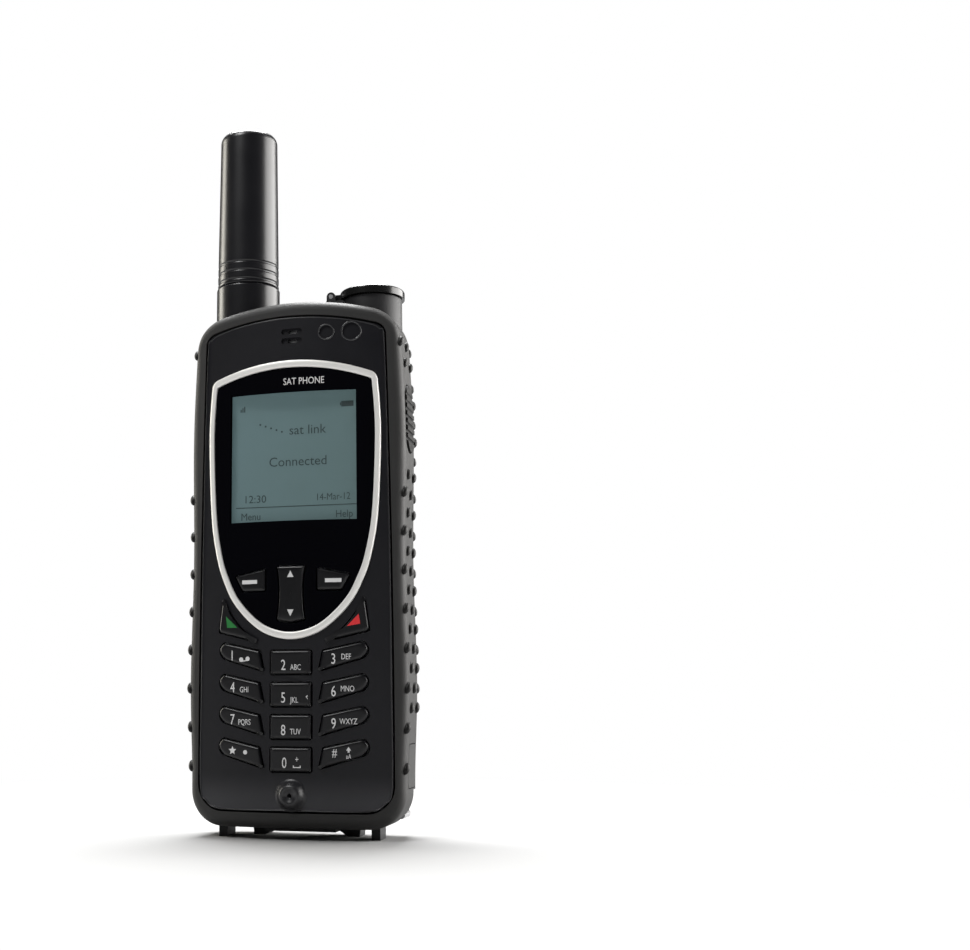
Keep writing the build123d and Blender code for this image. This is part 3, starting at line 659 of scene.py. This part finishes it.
# %% Words on the lens and on the display
marks("lens_words", [text("SAT PHONE", 3.4, 117.4, 1.9, 0.8)], lambda x: crown(x) - 0.19, INK_WHITE, "phone",
      "light_frame")
level = lambda x: np.full_like(x, -8.25)
marks("display_words", [
    text("Connected", 0.9, 96.6, 2.6, 1.0),
    text("12:30", -10.9, 86.9, 2.1, 1.0), text("14-Mar-12", 10.4, 86.9, 1.9, 0.85),
    text("Menu", -12.0, 82.3, 2.0, 0.9), text("Help", 13.4, 82.3, 2.0, 0.9),
    shape(bar(0.4, 84.8, 33.0, 0.22)),
    shape(bar(14.4, 111.4, 3.3, 1.5), bar(12.55, 111.4, 0.3, 0.8)),
    shape(bar(-14.9, 111.0, 0.3, 0.8), bar(-14.4, 111.2, 0.3, 1.2), bar(-13.9, 111.4, 0.3, 1.6)),
    shape(*[disc(-9.5 + 1.5 * k, 107.0 - 0.55 * k, 0.28, 10) for k in range(5)]),
    text("sat link", 3.5, 105.0, 2.6, 1.0)], level, INK_DARK, "phone", "display")
print("lettering done")

# %% [markdown]
# ## Microphone boss
# The boss is a small volcano: a flank that starts flat on the plate, a rounded rim and a shallow
# crater with the pinhole in its middle. Its flank is a raised cosine of the distance from the axis.

# %% Microphone boss
MIC_X, MIC_Z, BOSS_R, RIM_R, HOLE_R = 0.0, 11.1, 4.1, 2.1, 0.55
boss_root, boss_rise = 11.5, 1.8
flank = np.linspace(BOSS_R, RIM_R, 14)
crater = np.linspace(RIM_R, HOLE_R, 10)[1:]
rise = boss_rise * 0.5 * (1 + np.cos(np.pi * (flank - RIM_R) / (BOSS_R - RIM_R)))
sink = boss_rise - 0.45 * np.sin(np.pi / 2 * (RIM_R - crater) / (RIM_R - HOLE_R)) ** 2
profile = [(BOSS_R, boss_root - 1.4), *zip(flank, boss_root + rise), *zip(crater, boss_root + sink),
           (HOLE_R, boss_root - 1.0)]
BOSS = moulded("boss_black", (0.016, 0.016, 0.018), 0.34, grain=0.4, depth=0.001)
dress(lathe("mic_volcano", profile, (MIC_X, 0.0, MIC_Z), "y"), BOSS, "phone", "gloss_black", "mic_boss")

# %% [markdown]
# ## Sensor windows
# Two small round windows sit in the plate beside the earpiece. Each gets a polished hoop, a circle
# of radius R swept by a tube of radius r, which catches the light as a thin crescent.

# %% Window hoops
def hoop(name, radius, tube, x, z, lift):
    """Torus facing forward, on the crown."""
    around = np.linspace(0, 2 * np.pi, 72, endpoint=False)
    section = np.linspace(0, 2 * np.pi, 12, endpoint=False)
    section, around = np.meshgrid(section, around, indexing="ij")
    reach = radius + tube * np.cos(section)
    across = x + reach * np.cos(around)
    depth = crown(across) - lift - tube * np.sin(section)
    return skin(name, np.stack([across, depth, z + reach * np.sin(around)], axis=-1), along=True)


HOOP = moulded("hoop_gloss", (0.030, 0.030, 0.032), 0.2, grain=0.4, depth=0.001)
for side, x, radius in (("small", 9.4, 2.0), ("large", 16.0, 2.5)):
    dress(hoop(f"window_hoop_{side}", radius, 0.24, x, 130.4, 0.0), HOOP, "phone", "gloss_black")

# %% [markdown]
# ## Plate edge
# The plate ends in a fine rounded lip before the groove. A thin bead swept round its outline picks
# up the side lights as the pale line that separates plate and rubber.

# %% Plate lip
PLATE_RIGHT = [(0, 7.2), (19.0, 7.2), (23.6, 9.1), (25.5, 13.7), (25.5, 40.0), (25.45, 70.0), (25.1, 101.0),
               (24.5, 128.4), (23.4, 131.0), (21.0, 132.4), (12.5, 134.1), (0, 134.95)]
lip_points = flowing([*PLATE_RIGHT, *mirrored(PLATE_RIGHT[-2:0:-1]), PLATE_RIGHT[0]])[:-1]
lip_line = counterclockwise(loop(lip_points, 1.0, 500))
out = outward(lip_line)
rows = []
for a in np.linspace(0, 2 * np.pi, 10, endpoint=False):
    line = lip_line - out * (0.22 - 0.2 * np.cos(a))
    rows.append(np.stack([line[:, 0], crown(line[:, 0]) + 0.05 - 0.2 * np.sin(a), line[:, 1]], axis=-1))
LIP = moulded("plate_lip", (0.014, 0.014, 0.016), 0.32, grain=0.3, depth=0.002)
dress(skin("plate_lip", np.array(rows), along=True), LIP, "phone", "plate")

# %% [markdown]
# ## Floor, light and camera
# A plain pale floor, one large soft light on the phone's right and a little behind it, a weaker one
# on the left, and a soft top light. The room is white to the camera and dim to the phone, so that
# polished black stays black.

# %% Studio
def soft_light(name, place, aim, size, power, tint=(1, 1, 1)):
    """Square area light at a place, pointing at aim, both in metres."""
    data = bpy.data.lights.new(name, "AREA")
    data.shape, data.size, data.size_y, data.energy, data.color = "RECTANGLE", size[0], size[1], power, tint
    light = bpy.data.objects.new(name, data)
    light.location = place
    light.rotation_euler = (Vector(aim) - Vector(place)).to_track_quat("-Z", "Y").to_euler()
    bpy.context.scene.collection.objects.link(light)
    return light


CENTRE = (0.0, 0.0, 0.09)
soft_light("right_light", (0.62, 0.30, 0.24), CENTRE, (0.75, 0.7), 15.0, (1.0, 0.985, 0.965))
soft_light("left_light", (-0.70, 0.12, 0.22), CENTRE, (0.25, 0.6), 4.0, (1.0, 0.96, 0.86))
soft_light("top_light", (-0.10, 0.22, 0.80), CENTRE, (0.5, 0.35), 22.0)
soft_light("key_light", (-0.30, -0.50, 0.80), CENTRE, (0.3, 0.3), 5.0)

FLOOR_REACH = 4000.0
corners = [(-FLOOR_REACH, -FLOOR_REACH, 0), (FLOOR_REACH, -FLOOR_REACH, 0),
           (FLOOR_REACH, FLOOR_REACH, 0), (-FLOOR_REACH, FLOOR_REACH, 0)]
floor = mesh_piece("floor", np.array(corners),
                   [[0, 1, 2, 3]], smooth=False)
paint = Finish("floor_paint", (0.93, 0.93, 0.93), 0.9, Specular_IOR_Level=0.0, Emission_Strength=1.0)
away = paint.node("ShaderNodeVectorMath", {"operation": "LENGTH"}, {0: paint.place()}, "Value")
far = paint.node("ShaderNodeMapRange", {"interpolation_type": "SMOOTHSTEP"},
                 {"Value": away, 1: 45.0, 2: 260.0})
paint.feed("Base Color", paint.mix(far, (0.30, 0.30, 0.30, 1), (0, 0, 0, 1)))
paint.feed("Emission Color", paint.mix(far, (0.0, 0.0, 0.0, 1), (1, 1, 1, 1)))
floor.data.materials.append(paint.material)

world = bpy.data.worlds.new("studio")
bpy.context.scene.world = world
world.use_nodes = True
tree = world.node_tree
seen = tree.nodes.new("ShaderNodeLightPath")
blend = tree.nodes.new("ShaderNodeMixShader")
dim, white = (tree.nodes.new("ShaderNodeBackground") for _ in range(2))
dim.inputs["Color"].default_value, dim.inputs["Strength"].default_value = (1, 1, 1, 1), 0.03
white.inputs["Color"].default_value, white.inputs["Strength"].default_value = (1, 1, 1, 1), 1.0
tree.links.new(seen.outputs["Is Camera Ray"], blend.inputs[0])
tree.links.new(dim.outputs[0], blend.inputs[1])
tree.links.new(white.outputs[0], blend.inputs[2])
tree.links.new(blend.outputs[0], tree.nodes["World Output"].inputs[0])
bpy.context.scene.view_settings.view_transform = "Standard"

AIM = Vector((-0.00087, 0.0, 0.09303))
AZIMUTH, ELEVATION, DISTANCE = np.radians(16.0), np.radians(-9.15), 0.3615
camera = bpy.data.objects.new("camera", bpy.data.cameras.new("camera"))
camera.data.lens, camera.data.sensor_width = 49.94, 36.0
camera.data.shift_x, camera.data.shift_y = 0.1907, 0.0052
camera.data.clip_start = 0.01
away = Vector((np.sin(AZIMUTH) * np.cos(ELEVATION), -np.cos(AZIMUTH) * np.cos(ELEVATION), np.sin(ELEVATION)))
camera.location = AIM + DISTANCE * away
camera.rotation_euler = (-away).to_track_quat("-Z", "Y").to_euler()
bpy.context.scene.collection.objects.link(camera)
bpy.context.scene.camera = camera
print("camera height:", round(camera.location.z, 4), "m")
